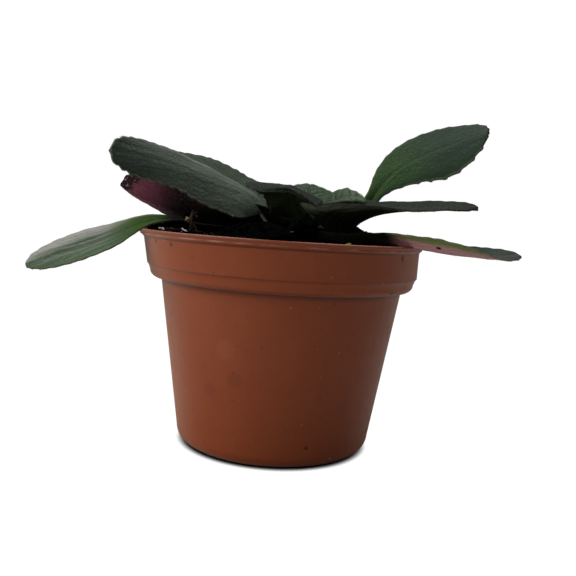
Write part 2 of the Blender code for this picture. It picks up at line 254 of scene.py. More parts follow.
pot_inside = [(LIP_RADIUS - WALL, LIP_TOP_Z), (LIP_RADIUS - WALL - 0.25, LIP_TOP_Z - 0.25),
              (RIM_RADIUS - WALL - 0.5, GROOVE_Z),
              (STEP_RADIUS - WALL, STEP_Z), (band - WALL, STEP_Z - STEP_DEPTH),
              (band - WALL - COLLAR_CORNER, COLLAR_BOTTOM_Z + WALL),
              (BODY_TOP_RADIUS - WALL, COLLAR_BOTTOM_Z + WALL - 0.6),
              (body_radius(FOOT_CORNER) - WALL, FOOT_CORNER + CHANNEL_HEIGHT + FLOOR),
              (body_radius(FOOT_CORNER) - WALL - FOOT_CORNER / 2, CHANNEL_HEIGHT + FLOOR),
              (0, CHANNEL_HEIGHT + FLOOR)]
pot_mesh = spun(pot_outside + pot_inside, 180)
soften_edges(pot_mesh, 28, 0.1, 2)


def lean(z):
    """How far (mm) the thin top of this pot is pushed to the left at a height."""
    return LIP_PUSHED_LEFT * min(1.0, max(0.0, (z - STEP_Z) / (LIP_TOP_Z - STEP_Z))) ** 2


for vert in pot_mesh.verts:
    vert.co.x -= lean(vert.co.z / MM) * MM

pot_plastic, place, shader = new_finish("pot_plastic", Specular_IOR_Level=0.35, IOR=1.49)
height = place.axis(2) * (1 / MM)
clouds = place.noise(14, 4)
mottling = place.noise(2.6, 5, roughness=0.7)
streaks = place.noise(3.0, 3, stretch=(1, 1, 0.08))
dust = (place.noise(5, 5) * 0.7 + streaks * 0.3).step(0.46, 0.72)
fleck = place.cells(5.5).step(0.105, 0.06)
pale_fleck = place.cells(7.0, stretch=(1.1, 0.9, 1.3)).step(0.07, 0.04)
ripple = place.noise(1.1, 4, stretch=(1, 1, 0.4)) - 0.5
patchy = place.noise(6.0, 5).step(0.34, 0.72)
# Pale wear and painted glints along the lip's ridge.
wear_and_glints = (height + ripple * 0.5 - RIDGE_Z).size().step(0.34, 0.08) * patchy
lip_face = (height + ripple * 0.3).step(RIDGE_Z, RIDGE_Z + 0.25)
# Painted sheen: the skin is mixed towards a pale tan where it turns away from the view, less on the lip.
painted_sheen_facing = place.node("ShaderNodeLayerWeight", None, {"Blend": 0.5}, "Facing")
skin = clouds.between((0.312, 0.063, 0.0155), (0.352, 0.075, 0.0195)).coats(
    (mottling.step(0.5, 0.8) * 0.55, (0.26, 0.052, 0.016)),
    (dust * 0.07, (0.42, 0.2, 0.13)),
    (lip_face * 0.6, (0.3, 0.085, 0.045)),
    (wear_and_glints * 0.6, (0.62, 0.36, 0.25)),
    # Painted shade: dark lines in the groove under the lip and at the collar's step, and a painted shadow
    # under the collar.
    ((height - GROOVE_Z).size().step(0.55, 0.12) * 0.75, (0.09, 0.022, 0.011)),
    ((height - STEP_Z + STEP_DEPTH * 0.5).size().step(0.55, 0.15) * 0.45, (0.13, 0.032, 0.013)),
    (height.step(COLLAR_BOTTOM_Z - 2.6, COLLAR_BOTTOM_Z)
     * height.step(COLLAR_BOTTOM_Z + 1.2, COLLAR_BOTTOM_Z) * 0.75, (0.08, 0.018, 0.009)),
    (fleck * 0.45, (0.1, 0.03, 0.018)),
    (pale_fleck * 0.25, (0.6, 0.42, 0.34)),
    (painted_sheen_facing.step(0.3, 0.95) * (0.28 - lip_face * 0.16), (0.6, 0.38, 0.26)))
# place (mm), radius (mm), strength and colour of the marks that show in the photograph
MARKS = ((41.0, -31.8, 75.0, 1.25, 0.9, (0.09, 0.005, 0.004)),
         (-37.0, -36.3, 74.8, 0.8, 0.8, (0.14, 0.018, 0.009)),
         (-43.4, -28.6, 75.4, 0.8, 0.8, (0.14, 0.018, 0.009)),
         (12.1, -35.4, 8.4, 0.7, 0.8, (0.05, 0.012, 0.006)),
         (21.1, -30.0, 3.2, 0.5, 0.8, (0.5, 0.3, 0.22)),
         (-7.6, -49.8, 62.7, 0.8, 0.6, (0.06, 0.014, 0.007)),
         (38.3, -32.7, 62.2, 1.6, 0.6, (0.05, 0.012, 0.007)),
         (-13.3, -38.7, 31.2, 3.0, 0.25, (0.16, 0.032, 0.011)),
         (-21.9, -33.6, 26.0, 2.6, 0.25, (0.16, 0.032, 0.011)),
         (-17.2, -38.8, 41.2, 3.6, 0.2, (0.42, 0.14, 0.06)))
for *spot, radius, strength, tint in MARKS:
    mark = (place.away_from(spot) + ripple * radius * 0.35).step(radius * 1.3, radius * 0.6)
    skin = skin.coats((mark * strength, tint))
gloss = 0.4 + clouds * 0.1 + dust * 0.16 + mottling * 0.06
relief = place.noise(0.45, 3) * 0.5 + streaks * 0.4 + mottling * 0.3
feed(shader, skin, gloss, relief.bump(0.02))

pot = new_piece("terracotta_pot", pot_mesh, pot_plastic, "pot", 32)
drill = bmesh.new()
for hole in range(DRAIN_HOLES):
    turn = math.tau * (hole + 0.5) / DRAIN_HOLES
    at = Vector((math.cos(turn), math.sin(turn), 0)) * DRAIN_CIRCLE_RADIUS * MM
    bmesh.ops.create_cone(drill, cap_ends=True, segments=40, radius1=DRAIN_HOLE_RADIUS * MM,
                          radius2=DRAIN_HOLE_RADIUS * MM, depth=9 * MM,
                          matrix=Matrix.Translation(at))
drill_object = new_object("drill", new_mesh("drill", drill))
holes = pot.modifiers.new("holes", "BOOLEAN")
holes.operation = "DIFFERENCE"
holes.object = drill_object
drilled = bpy.data.meshes.new_from_object(pot.evaluated_get(bpy.context.evaluated_depsgraph_get()))
pot.modifiers.clear()
pot.data = drilled
pot.data.name = "terracotta_pot"
bpy.data.objects.remove(drill_object)

# Potting soil
# A plug of dark, moist peat mix that fills the pot to just under the lip. It was pressed in
# by hand, so it is lumpy, with heaps at the crown and against the lip at the left.
STEM_PLACE = Vector((10.6, -0.4))
SOIL_EDGE_Z = 76.5
SOIL_TOP_RADIUS = RIM_RADIUS - WALL - 0.75
# x, y, radius and height (mm) of the heaps that stand above the rest
SOIL_HEAPS = ((-3.0, 6.0, 18.0, 6.6), (-43.0, -13.0, 9.5, 4.2), (-40.0, 14.0, 8.5, 3.6),
              (-17.0, -9.0, 13.0, 2.9), (26.0, -4.0, 9.0, 6.7), (-36.0, -26.0, 7.0, 1.4),
              (33.0, -25.0, 9.0, 0.5), (-34.5, -33.0, 4.0, 1.7))


def soil_height(x, y):
    """Height (mm) of the soil at a place inside the pot."""
    share = min(1.0, math.hypot(x, y) / SOIL_TOP_RADIUS)
    height = SOIL_EDGE_Z + (1 - share * share)
    for heap_x, heap_y, radius, rise in SOIL_HEAPS:
        height += rise * math.exp(-((x - heap_x) ** 2 + (y - heap_y) ** 2) / radius ** 2)
    spot = Vector((x, y, 0.0))
    height += 0.75 * noise.noise(spot / 4.2) + 0.5 * noise.noise(spot / 1.7)
    return height + 0.3 * noise.noise(spot / 0.75)


def crown_shade_mask(place):
    """1 deep in the crown and 0 outside it: a mask for the painted shade that darkens the crown."""
    height = place.axis(2) * (1 / MM)
    middle = place.node("ShaderNodeVectorMath", {"operation": "MULTIPLY_ADD"},
                        {0: place, 1: (1 / MM, 1 / MM, 0), 2: (0, 5.0, 0)})
    from_middle = place.node("ShaderNodeVectorMath", {"operation": "LENGTH"}, {0: middle}, "Value")
    cloudy = height + place.noise(4, 3) * 4
    deep = cloudy.step(96.0, 89.0) * from_middle.step(37.0, 24.0)
    return deep.sum("MAXIMUM", deep, cloudy.step(90.0, 85.5) * from_middle.step(47.0, 41.5))


SOIL_RINGS = 75
SOIL_SEGMENTS = 260
soil_profile = [(0, 40.0), (SOIL_TOP_RADIUS - 8.5, 40.0), (SOIL_TOP_RADIUS - 6.5, 61.8),
                (SOIL_TOP_RADIUS - 4.6, 64.5), (SOIL_TOP_RADIUS - 1.8, 67.0),
                (SOIL_TOP_RADIUS - 0.3, SOIL_EDGE_Z - 1.0)]
soil_profile += [(SOIL_TOP_RADIUS * i / SOIL_RINGS, SOIL_EDGE_Z) for i in range(SOIL_RINGS, -1, -1)]
soil_mesh = spun(soil_profile, SOIL_SEGMENTS)
for vert in soil_mesh.verts:
    if abs(vert.co.z / MM - SOIL_EDGE_Z) < 0.01:
        vert.co.z = soil_height(vert.co.x / MM, vert.co.y / MM) * MM
        vert.co.x -= lean(SOIL_EDGE_Z) * MM * (Vector(vert.co.xy).length / MM / SOIL_TOP_RADIUS) ** 6
soil_mesh.normal_update()

peat, place, shader = new_finish("peat", Specular_IOR_Level=0.01)
lumps = place.noise(2.2, 6, roughness=0.7)
crumbs = place.cells(0.9)
soil_colour = lumps.step(0.35, 0.7).between((0.0018, 0.0015, 0.0014), (0.008, 0.0056, 0.004))
soil_colour = soil_colour.coats(
    (place.noise(0.6, 3).step(0.66, 0.74) * 0.6, (0.045, 0.028, 0.017)),
    (place.noise(9, 3).step(0.6, 0.75) * 0.4, (0.03, 0.016, 0.009)),
    # Painted shade: deep in the crown the soil goes near-black.
    (crown_shade_mask(place) * 0.98, (0.0002, 0.0002, 0.0002)))
wetness = 0.8 + lumps * 0.25
feed(shader, soil_colour, wetness, (lumps * 0.7 + crumbs * 0.5 + place.noise(0.3, 2) * 0.3).bump(0.7))
new_piece("peat_soil", soil_mesh, peat, "potting_soil", 80)


# Peat crumbs, coir fibres and perlite
# Loose bits on top of the soil: dark crumbs of peat, thin brown fibres and a few white
# grains of perlite. They lie pressed into the surface, most of them near the lip.
class Scatter:
    """Collects copies of one small shape, each at its own place and size."""

    def __init__(self, shape):
        self.shape = new_mesh("copied_shape", shape)
        self.bm = bmesh.new()

    def add(self, place, turn, size):
        """Put a copy at a place (mm), turned by a matrix, with a size (mm) along each axis."""
        matrix = Matrix.Translation(Vector(place) * MM) @ turn
        matrix = matrix @ Matrix.Diagonal([*(part * MM for part in size), 1])
        self.shape.transform(matrix)
        self.bm.from_mesh(self.shape)
        self.shape.transform(matrix.inverted())

    def pour_into(self, bm):
        """Move all the copies into another bmesh."""
        gathered = new_mesh("gathered", self.bm)
        bm.from_mesh(gathered)
        bm.normal_update()
        bpy.data.meshes.remove(gathered)


def pebble(seed, subdivisions, roughness):
    """An uneven lump about 1 m wide, to be scaled to size."""
    bm = bmesh.new()
    bmesh.ops.create_icosphere(bm, subdivisions=subdivisions, radius=0.5)
    for vert in bm.verts:
        vert.co *= 1 + roughness * noise.noise(vert.co * 2.3 + Vector((seed, 0, 0)))
    return bm


def turned(rng):
    """A random rotation."""
    turn = Matrix.Rotation(rng.uniform(0, math.tau), 4, "Z")
    return turn @ Matrix.Rotation(rng.uniform(0, math.pi), 4, "X") @ turn


def spot_on_soil(rng, inner, outer):
    """A random place on the soil between two radii (mm)."""
    radius = math.sqrt(rng.uniform(inner * inner, outer * outer))
    turn = rng.uniform(0, math.tau)
    return radius * math.cos(turn), radius * math.sin(turn)


CRUMBS = 2600
FIBRES = 220
GRAINS = 60
rng = random.Random(5)
crumb_lots = [Scatter(pebble(seed, 1, 0.9)) for seed in (1.0, 4.0, 9.0)]
for number in range(CRUMBS):
    inner, outer = (38.0, 50.0) if number % 2 else (0.0, 50.0)
    x, y = spot_on_soil(rng, inner, outer)
    size = 0.45 + 2.1 * rng.random() ** 4
    z = soil_height(x, y) + size * 0.12
    shape = (size * rng.uniform(0.8, 1.5), size, size * 0.8)
    crumb_lots[number % 3].add((x, y, z), turned(rng), shape)
crumb_mesh = bmesh.new()
for lot in crumb_lots:
    lot.pour_into(crumb_mesh)
new_piece("peat_crumbs", crumb_mesh, peat, sharp=35)

coir, place, shader = new_finish("coir", Specular_IOR_Level=0.3)
coir_colour = place.noise(3.0, 4).step(0.35, 0.68).between((0.014, 0.008, 0.004), (0.06, 0.033, 0.016))
feed(shader, coir_colour, 0.7 + place.noise(1.0) * 0.25, place.noise(0.2, 2).bump(0.05))
straw_shape = bmesh.new()
bmesh.ops.create_cone(straw_shape, cap_ends=True, segments=5, radius1=0.5, radius2=0.3, depth=1)
straws = Scatter(straw_shape)
for number in range(FIBRES):
    x, y = spot_on_soil(rng, 30.0, 49.0)
    length = rng.uniform(1.8, 5.5)
    lie = Matrix.Rotation(rng.uniform(0, math.tau), 4, "Z") @ Matrix.Rotation(
        math.radians(rng.uniform(70, 105)), 4, "X")
    width = rng.uniform(0.12, 0.3)
    straws.add((x, y, soil_height(x, y) + 0.15), lie, (width, width, length))
new_piece("coir_fibres", straws.bm, coir)

perlite, place, shader = new_finish("perlite", Specular_IOR_Level=0.35)
chalk = place.noise(0.7, 4).step(0.35, 0.7).between((0.34, 0.31, 0.26), (0.74, 0.72, 0.68))
pores = place.cells(0.35)
feed(shader, (pores.step(0.3, 0.1) * 0.5).between(chalk, (0.16, 0.13, 0.1)), 0.75 + pores * 0.2,
     pores.bump(0.12))
# x, y and width (mm) of the grains that show at the lip in the photograph
SEEN_GRAINS = ((-42.9, -22.5, 1.6), (-34.2, -32.6, 1.8), (-47.0, -14.0, 1.0), (27.4, -41.0, 1.5),
               (30.4, -39.0, 2.2), (35.6, -34.5, 1.7), (-20.5, -45.4, 0.9), (5.0, -49.4, 0.8))
grains = Scatter(pebble(2.5, 2, 1.1))
for number in range(GRAINS):
    if number < len(SEEN_GRAINS):
        x, y, size = SEEN_GRAINS[number]
    else:
        x, y = spot_on_soil(rng, 18.0, 49.0)
        x = abs(x) if y < 25 else x
        y = abs(y)
        size = 0.6 + 1.5 * rng.random() ** 2
    z = soil_height(x, y) + size * 0.22
    grains.add((x, y, z), turned(rng), (size * 1.15, size, size * 0.85))
new_piece("perlite_grains", grains.bm, perlite, sharp=60)

# Crown stem
# The short woody rootstock that carries every leaf. It is brown-green and knobbly with the
# scars of old leaves, rounded at the top, and stubs of old stalks stand round it.
STEM_FOOT_Z = 66.0
STEM_TOP_Z = 88.4
STEM_RADIUS = 6.0
STEM_SHAPE = ((0.0, 0.0), (0.55, 0.0), (0.85, 0.22), (1.0, 0.45), (0.95, 0.62), (0.75, 0.87),
              (0.4, 0.975), (0.0, 1.0))


def eased(points, steps):
    """A smooth line through (r, z) points."""
    line = []
    for i, (start, end) in enumerate(zip(points, points[1:])):
        before = points[max(i - 1, 0)]
        after = points[min(i + 2, len(points) - 1)]
        for step in range(steps):
            t = step / steps
            spline = []
            for p0, p1, p2, p3 in zip(before, start, end, after):
                bend = (2 * p0 - 5 * p1 + 4 * p2 - p3) * t * t + (3 * p1 - p0 - 3 * p2 + p3) * t ** 3
                spline.append(0.5 * (2 * p1 + (p2 - p0) * t + bend))
            line.append(tuple(spline))
    return line + [points[-1]]


stem_line = [(STEM_RADIUS * wide, STEM_FOOT_Z + (STEM_TOP_Z - STEM_FOOT_Z) * up)
             for wide, up in STEM_SHAPE]
stem_line = [(max(0.0, r), z) for r, z in eased(stem_line, 8)]
stem_mesh = spun(stem_line, 72)
for vert in stem_mesh.verts:
    ring = Vector((vert.co.x, vert.co.y, 0))
    knob = noise.noise(vert.co / (3.0 * MM)) * 0.35 + noise.noise(vert.co / (1.1 * MM)) * 0.18
    scar = 0.3 * math.sin(vert.co.z / MM * 2.6 + 2 * math.atan2(ring.y, ring.x))
    vert.co += ring.normalized() * (knob + scar) * MM * min(1.0, ring.length / (3 * MM))
bmesh.ops.translate(stem_mesh, verts=stem_mesh.verts, vec=(*(STEM_PLACE * MM), 0))
stem_bark, place, shader = new_finish("stem_bark", Specular_IOR_Level=0.005)
height = place.axis(2) * (1 / MM)
bark = place.noise(1.6, 5, roughness=0.65)
bark_colour = bark.step(0.35, 0.68).between((0.008, 0.006, 0.004), (0.03, 0.022, 0.011)).coats(
    ((height + bark * 6).step(85.0, 91.0) * 0.8, (0.02, 0.034, 0.012)),
    # Painted shade: deep in the crown the bark and its stubs go near-black.
    (crown_shade_mask(place) * 0.95, (0.001, 0.001, 0.0008)))
feed(shader, bark_colour, 0.65 + bark * 0.3, (bark + place.noise(0.35) * 0.4).bump(0.35))
stub_shape = bmesh.new()
bmesh.ops.create_cone(stub_shape, cap_ends=True, segments=20, radius1=0.6, radius2=0.42, depth=1)
bmesh.ops.translate(stub_shape, verts=stub_shape.verts, vec=(0, 0, 0.5))
bmesh.ops.subdivide_edges(stub_shape, edges=stub_shape.edges, cuts=3, use_grid_fill=True)
for vert in stub_shape.verts:
    vert.co += vert.co.normalized() * 0.08 * noise.noise(vert.co * 4)
# heading, height, length, width and rise (mm and degrees) of the stubs round the stem
STUBS = ((-150, 76.5, 9.0, 5.5, 30), (-100, 76.0, 8.0, 5.0, 35), (-55, 76.5, 7.5, 5.0, 40),
         (-170, 79.5, 10.0, 5.0, 22), (-125, 79.5, 8.5, 4.5, 25), (70, 77.0, 8.0, 5.0, 30),
         (20, 77.0, 8.0, 5.0, 28), (155, 77.5, 9.0, 5.0, 20), (115, 77.0, 8.0, 5.0, 30),
         (168, 82.0, 15.5, 4.8, 14), (178, 80.5, 11.0, 4.6, 18))
stubs = Scatter(stub_shape)
for heading, foot_z, length, width, rise in STUBS:
    level = Matrix.Rotation(math.radians(heading), 4, "Z")
    tilt = Matrix.Rotation(math.radians(90 - rise), 4, "Y")
    inside = Matrix.Translation(Vector((0, 0, STEM_RADIUS - 3.0)) * MM)
    stubs.add((*STEM_PLACE, foot_z), level @ tilt @ inside, (width, width, length))
stubs.pour_into(stem_mesh)
new_piece("crown_stem_bark", stem_mesh, stem_bark, "crown_stem", 80)


# Leaves
# Thick, soft, hairy leaves with a channelled stalk, a grooved midrib and a toothed margin.
# Each one grew from the stem: dark grey-green above, and pale, pink or purple below.
LINE_STEPS = 160
LEAF_COLUMNS = 44
LEAF_ROW_LENGTH = 0.62
EDGE_THICKNESS = 0.33
MIDDLE_SWELL = 0.3


def beside(values, share):
    """The two evenly spaced values beside a share of the leaf's length, and the part between."""
    place = share * (len(values) - 1)
    low = min(int(place), len(values) - 2)
    return values[low], values[low + 1], place - low


def along(values, share):
    """Read evenly spaced values at a share of the leaf's length."""
    low, high, part = beside(values, share)
    return low + (high - low) * part


def half_width(leaf, share, right):
    """Half the leaf's width (mm): a stalk that flows into a round-tipped blade."""
    stalk = leaf["stalk_width"] / 2 * math.sqrt(1 - share)
    blade = 0.0
    end = leaf["stalk_end"]
    if share > end:
        s = (share - end) / (1 - end)
        peak = (leaf["widest"] - end) / (1 - end)
        blunt = leaf["blunt"]
        shape = (s / peak) ** (blunt * peak / (1 - peak)) * (max(0.0, 1 - s) / (1 - peak)) ** blunt
        blade = leaf["width"] / 2 * shape * along(leaf["scales"][right], share)
    return max(0.5 * (stalk + blade + math.hypot(stalk - blade, 1.2)) - 0.3, 0.7)


def rim_line(leaf, right):
    """Follow the rim from the root: a list of (length so far, its turn in from straight ahead)."""
    stride = leaf["length"] / LINE_STEPS
    widths = [half_width(leaf, i / LINE_STEPS, right) for i in range(LINE_STEPS + 1)]
    line = [(0.0, 0.0)]
    for near, far in zip(widths, widths[1:]):
        line.append((line[-1][0] + math.hypot(stride, far - near), math.atan2(near - far, stride)))
    return line


def rim_tooth(leaf, share, right):
    """How far (mm) a tooth pushes the rim sideways and ahead."""
    depth, pitch = leaf["teeth"][right]
    low, high, part = beside(leaf["rims"][right], share)
    travelled, turn = (a + (b - a) * part for a, b in zip(low, high))
    saw = travelled / pitch + (0.37 if right else 0.0)
    saw += 0.25 * noise.noise(Vector((saw * 0.6, leaf["seed"] + (3 if right else 0), 0)))
    tooth = depth * (math.sin(math.pi * (saw % 1.0) ** leaf["tooth_lean"]) - 0.6)
    tooth *= min(1.0, max(0.0, share - leaf["stalk_end"]) / (1 - leaf["stalk_end"]) * 1.8)
    return tooth * math.cos(turn), tooth * math.sin(turn)


def midrib_line(leaf):
    """Follow the midrib from the root: a list of (point, ahead, side, up)."""
    point = Vector(leaf["root"])
    stations = []
    for i in range(LINE_STEPS + 1):
        heading, rise, roll = (math.radians(along(leaf[key], i / LINE_STEPS))
                               for key in ("heading", "rise", "roll"))
        ahead = Vector((math.cos(rise) * math.cos(heading), math.cos(rise) * math.sin(heading),
                        math.sin(rise)))
        level_side = ahead.cross(Vector((0, 0, 1))).normalized()
        level_up = level_side.cross(ahead)
        side = level_side * math.cos(roll) + level_up * math.sin(roll)
        up = level_up * math.cos(roll) - level_side * math.sin(roll)
        stations.append((point.copy(), ahead, side, up))
        point += ahead * (leaf["length"] / LINE_STEPS)
    return stations


def vein_wave(leaf, share, across):
    """0 on a side vein and 1 halfway between two. The veins run out and forwards."""
    phase = (share - leaf["vein_slant"] * abs(across) ** 1.1) * leaf["veins"]
    return abs(math.sin(math.pi * phase)) ** 0.6


def leaf_surface(leaf, share, across, top):
    """A point (mm) of the leaf's upper or lower skin; across is -1 at the left margin."""
    low, high, part = beside(leaf["stations"], share)
    point, ahead, side, up = (a.lerp(b, part) for a, b in zip(low, high))
    right = across > 0
    angle = math.radians(along(leaf["folds"][right], share))
    sideways, forwards = rim_tooth(leaf, share, right)
    width = half_width(leaf, share, right) + sideways * abs(across)
    reach = width * abs(across)
    point = point + ahead * forwards * abs(across) ** 3
    lift = (math.hypot(reach, 0.9) - 0.9) * math.sin(angle)
    lift += along(leaf["curl"][right], share) * abs(across) ** 5
    wave = leaf["seed"] * 7.1
    lift += leaf["waviness"] * across * across * noise.noise(Vector((share * 5.0, across * 0.8, wave)))
    lift += 0.35 * noise.noise(Vector((share * leaf["length"] / 9.0, reach / 7.0, wave + 5)))
    point = point + side * math.copysign(reach * math.cos(angle), across) + up * lift
    inside = 1 - across * across
    rounding = math.sqrt(max(0.06, 1 - max(0.0, 1 - (width - reach) / 0.45) ** 2))
    blade = min(1.0, max(0.0, (share - leaf["stalk_end"]) * 6))
    quilt = vein_wave(leaf, share, across) * leaf["quilt"] * blade * min(1.0, inside * 2.5)
    puff = leaf["puff"] * blade * math.sin(math.pi * min(1.0, abs(across))) ** 0.7
    puff *= min(1.0, (1 - share) * 4)
    quilt += puff * (0.75 + 0.5 * noise.noise(Vector((share * 6.0, across * 2.0, wave + 9))))
    groove = math.exp(-(reach / 0.75) ** 2) * (0.55 - 0.35 * share)
    thick = (EDGE_THICKNESS + MIDDLE_SWELL * inside) * rounding
    if top:
        channel = 0.9 * (1 - blade) * max(0.0, 1 - (reach / 2.2) ** 2)
        return point + up * (thick + quilt * rounding - groove - channel)
    keel = (1.3 - 1.1 * min(1.0, share * 1.3)) * inside ** 3
    ridge = math.exp(-(reach / 0.9) ** 2) * (0.75 - 0.55 * share)
    return point - up * (thick + keel + ridge - quilt * 0.7 * rounding)


def leaf_mesh(leaf):
    """A closed leaf: a fine grid for its upper skin and a copy of it below."""
    rows = max(56, round(leaf["length"] / LEAF_ROW_LENGTH))
    bm = bmesh.new()
    spread = bm.loops.layers.uv.new("spread_mm")
    shares = bm.loops.layers.uv.new("shares")
    below = bm.verts.layers.float.new("below")
    bmesh.ops.create_grid(bm, x_segments=LEAF_COLUMNS, y_segments=rows, size=1.0)
    top = list(bm.verts)
    copied = bmesh.ops.extrude_face_region(bm, geom=list(bm.faces), use_keep_orig=True)
    bottom = [item for item in copied["geom"] if isinstance(item, bmesh.types.BMVert)]
    leaf_place = {}
    for verts, is_top in ((top, True), (bottom, False)):
        for vert in verts:
            across = 0.45 * vert.co.x + 0.55 * math.sin(vert.co.x * math.pi / 2)
            share = math.sin((vert.co.y + 1) / 2 * math.pi / 2)
            share = 0.5 * share + 0.5 * (vert.co.y + 1) / 2
            leaf_place[vert] = (across, share)
            vert[below] = 0.0 if is_top else 1.0
            vert.co = leaf_surface(leaf, share, across, is_top) * MM
    for face in bm.faces:
        for loop in face.loops:
            across, share = leaf_place[loop.vert]
            reach = across * half_width(leaf, share, across > 0)
            loop[spread].uv = (reach * MM, share * leaf["length"] * MM)
            loop[shares].uv = (across, share)
    bmesh.ops.recalc_face_normals(bm, faces=bm.faces)
    return bm


def leaf_finish(name, leaf):
    """Skin of one leaf: green film over veins above, its own colour below, a hairy rim."""
    material, place, shader = new_finish(name, Specular_IOR_Level=0.05)
    map_mm = place.node("ShaderNodeUVMap", {"uv_map": "spread_mm"})
    map_share = place.node("ShaderNodeUVMap", {"uv_map": "shares"})
    across = map_share.axis(0)
    share = map_share.axis(1)
    reach = map_mm.axis(0) * (1 / MM)
    below = place.node("ShaderNodeAttribute", {"attribute_name": "below"}, None, "Fac")
    out = across.size()
    on_blade = share.step(*leaf.get("blade", (leaf["stalk_end"] * 0.75, leaf["stalk_end"] + 0.16)))
    phase = (share - (out ** 1.1) * leaf["vein_slant"]) * (leaf["veins"] * math.pi)
    wave = phase.sum("SINE", phase, 0.0).size()
    vein = wave.step(leaf["vein_width"], 0.04) * on_blade
    midrib = (reach.size() + (map_mm.noise(2.2, 3) - 0.5) * 1.4).step(1.3, 0.1)
    net = map_mm.cells(1.7, "DISTANCE_TO_EDGE", (1, 0.7, 1))
    fine_net = map_mm.cells(0.6, "DISTANCE_TO_EDGE")
    film = map_mm.noise(7, 5, (1, 0.35, 1), 0.65)
    streaks = map_mm.noise(1.6, 4, (1, 0.07, 1), 0.6)
    speckle = place.noise(0.35, 3)

    green = share.step(leaf["stalk_end"], 0.85).between(leaf["base"], leaf["tip"]).coats(
        (film.step(0.38, 0.72) * leaf["cloud"], leaf["grey"]),
        (streaks.step(0.48, 0.66) * leaf["streak"] * on_blade, leaf["grey"]),
        (streaks.step(0.47, 0.34) * leaf["streak"] * on_blade, leaf["deep"]),
        (net.step(0.1, 0.02) * 0.25 * on_blade, leaf["deep"]),
        (vein * leaf["veined"], leaf["deep"]),
        (midrib * 0.45, leaf["rib"]),
        (speckle.step(*leaf["fuzz"]) * leaf["hairs"] * on_blade, leaf["frost"]))
    # Painted shade and painted highlight: a band along either half of the leaf is darker or paler, as the
    # light falls on it.
    for side, (strength, tint) in zip((-1, 1), leaf["margin_shading"]):
        band = across * side + (film - 0.5) * 0.5 + (streaks - 0.5) * 0.4
        green = green.coats((band.step(*leaf["margin_reach"]) * strength, tint))
    rim = (out + map_mm.noise(1.2, 3) * 0.1 - 0.05).step(0.9, 0.985)
    rim_strength, rim_colour = leaf["rim"]
    green = green.coats((rim * rim_strength, rim_colour))
    # A painted highlight over pale hairs along the stalk's lit margin.
    lit_margin = out.step(0.66, 0.98) * across.step(*leaf["stalk_lit"]) * 0.8
    green = on_blade.between(lit_margin.between(*leaf["stalk"]), green)

    aged = share + (film - 0.5) * 0.12
    edge_strength, edge_colour = leaf["under_edge"]
    under_edge = (film * 0.6 + out * 0.6).step(*leaf["under_reach"]) * share.step(0.92, 0.66)
    scorched = (aged - across * 0.06).step(*leaf["scorch"])
    from_spot = map_mm.away_from((*leaf["spot"], 0)) + (film - 0.5)
    lower = aged.step(*leaf["under_change"]).between(*leaf["under"]).coats(
        (under_edge * edge_strength, edge_colour),
        (streaks.step(0.45, 0.68) * 0.3, leaf["under"][0]),
        (vein * 0.4 + midrib * 0.6, leaf["under_rib"]),
        (scorched * 0.9, (0.014, 0.006, 0.008)),
        (scorched * place.noise(1.0, 2).step(0.6, 0.66) * 0.8, (0.42, 0.44, 0.44)),
        (speckle.step(0.58, 0.7) * leaf["hairs"] * 0.8, leaf["frost"]),
        (from_spot.step(1.0, 0.5), (0.07, 0.012, 0.01)),
        (rim * rim_strength * 0.7, rim_colour))
    # Painted shade: the leaf is mixed towards near-black by its tone along its length, deep in the crown,
    # and along the shaded part of its stalk.
    at_root, in_middle, at_tip = leaf["tone"]
    tone = share.step(0.1, 0.4) * (in_middle - at_root) + share.step(0.4, 0.95) * (at_tip - in_middle)
    dull = 1 - at_root - tone
    painted_crown_shade = crown_shade_mask(place) * (below * (leaf["under_crown"] - leaf["crown"]) + leaf["crown"])
    shade = place.sum("MAXIMUM", place.sum("MAXIMUM", painted_crown_shade, dull), share.step(*leaf["stalk_shade"]))
    colour = shade.between(below.between(green, lower), (0.002, 0.0025, 0.0015))
    roughness = 0.62 + film * 0.12 + speckle * 0.1
    relief = wave ** 0.6 * leaf["quilt"] * on_blade * (1 - out * out) + net.step(0.0, 0.25) * 0.1
    relief = relief + fine_net.step(0.0, 0.3) * 0.04 + speckle * 0.1 + streaks * leaf["streak"] * 0.2
    feed(shader, colour, roughness, relief.bump(1.0))
    return material


hair_finish, place, shader = new_finish("leaf_hair", Specular_IOR_Level=0.1)
hair_colour = place.noise(3.0, 2).between((0.07, 0.08, 0.06), (0.2, 0.21, 0.18))
# Painted shade: hairs deep in the crown go near-black.
hair_colour = (crown_shade_mask(place) * 0.95).between(hair_colour, (0.002, 0.0025, 0.0015))
feed(shader, hair_colour, 0.55 + place.noise(1.0) * 0.1, place.noise(0.1, 1).bump(0.01))


HAIR_RADIUS = 0.042


def add_hair(hairs, rng, foot, direction, spread, shortest, longest):
    """Add one thin hair (mm) that leans a random way, by about the spread."""
    direction = direction + Vector([rng.gauss(0, spread) for part in range(3)])
    turn = direction.to_track_quat("Z", "Y").to_matrix().to_4x4()
    hairs.add(foot, turn, (HAIR_RADIUS, HAIR_RADIUS, rng.uniform(shortest, longest)))


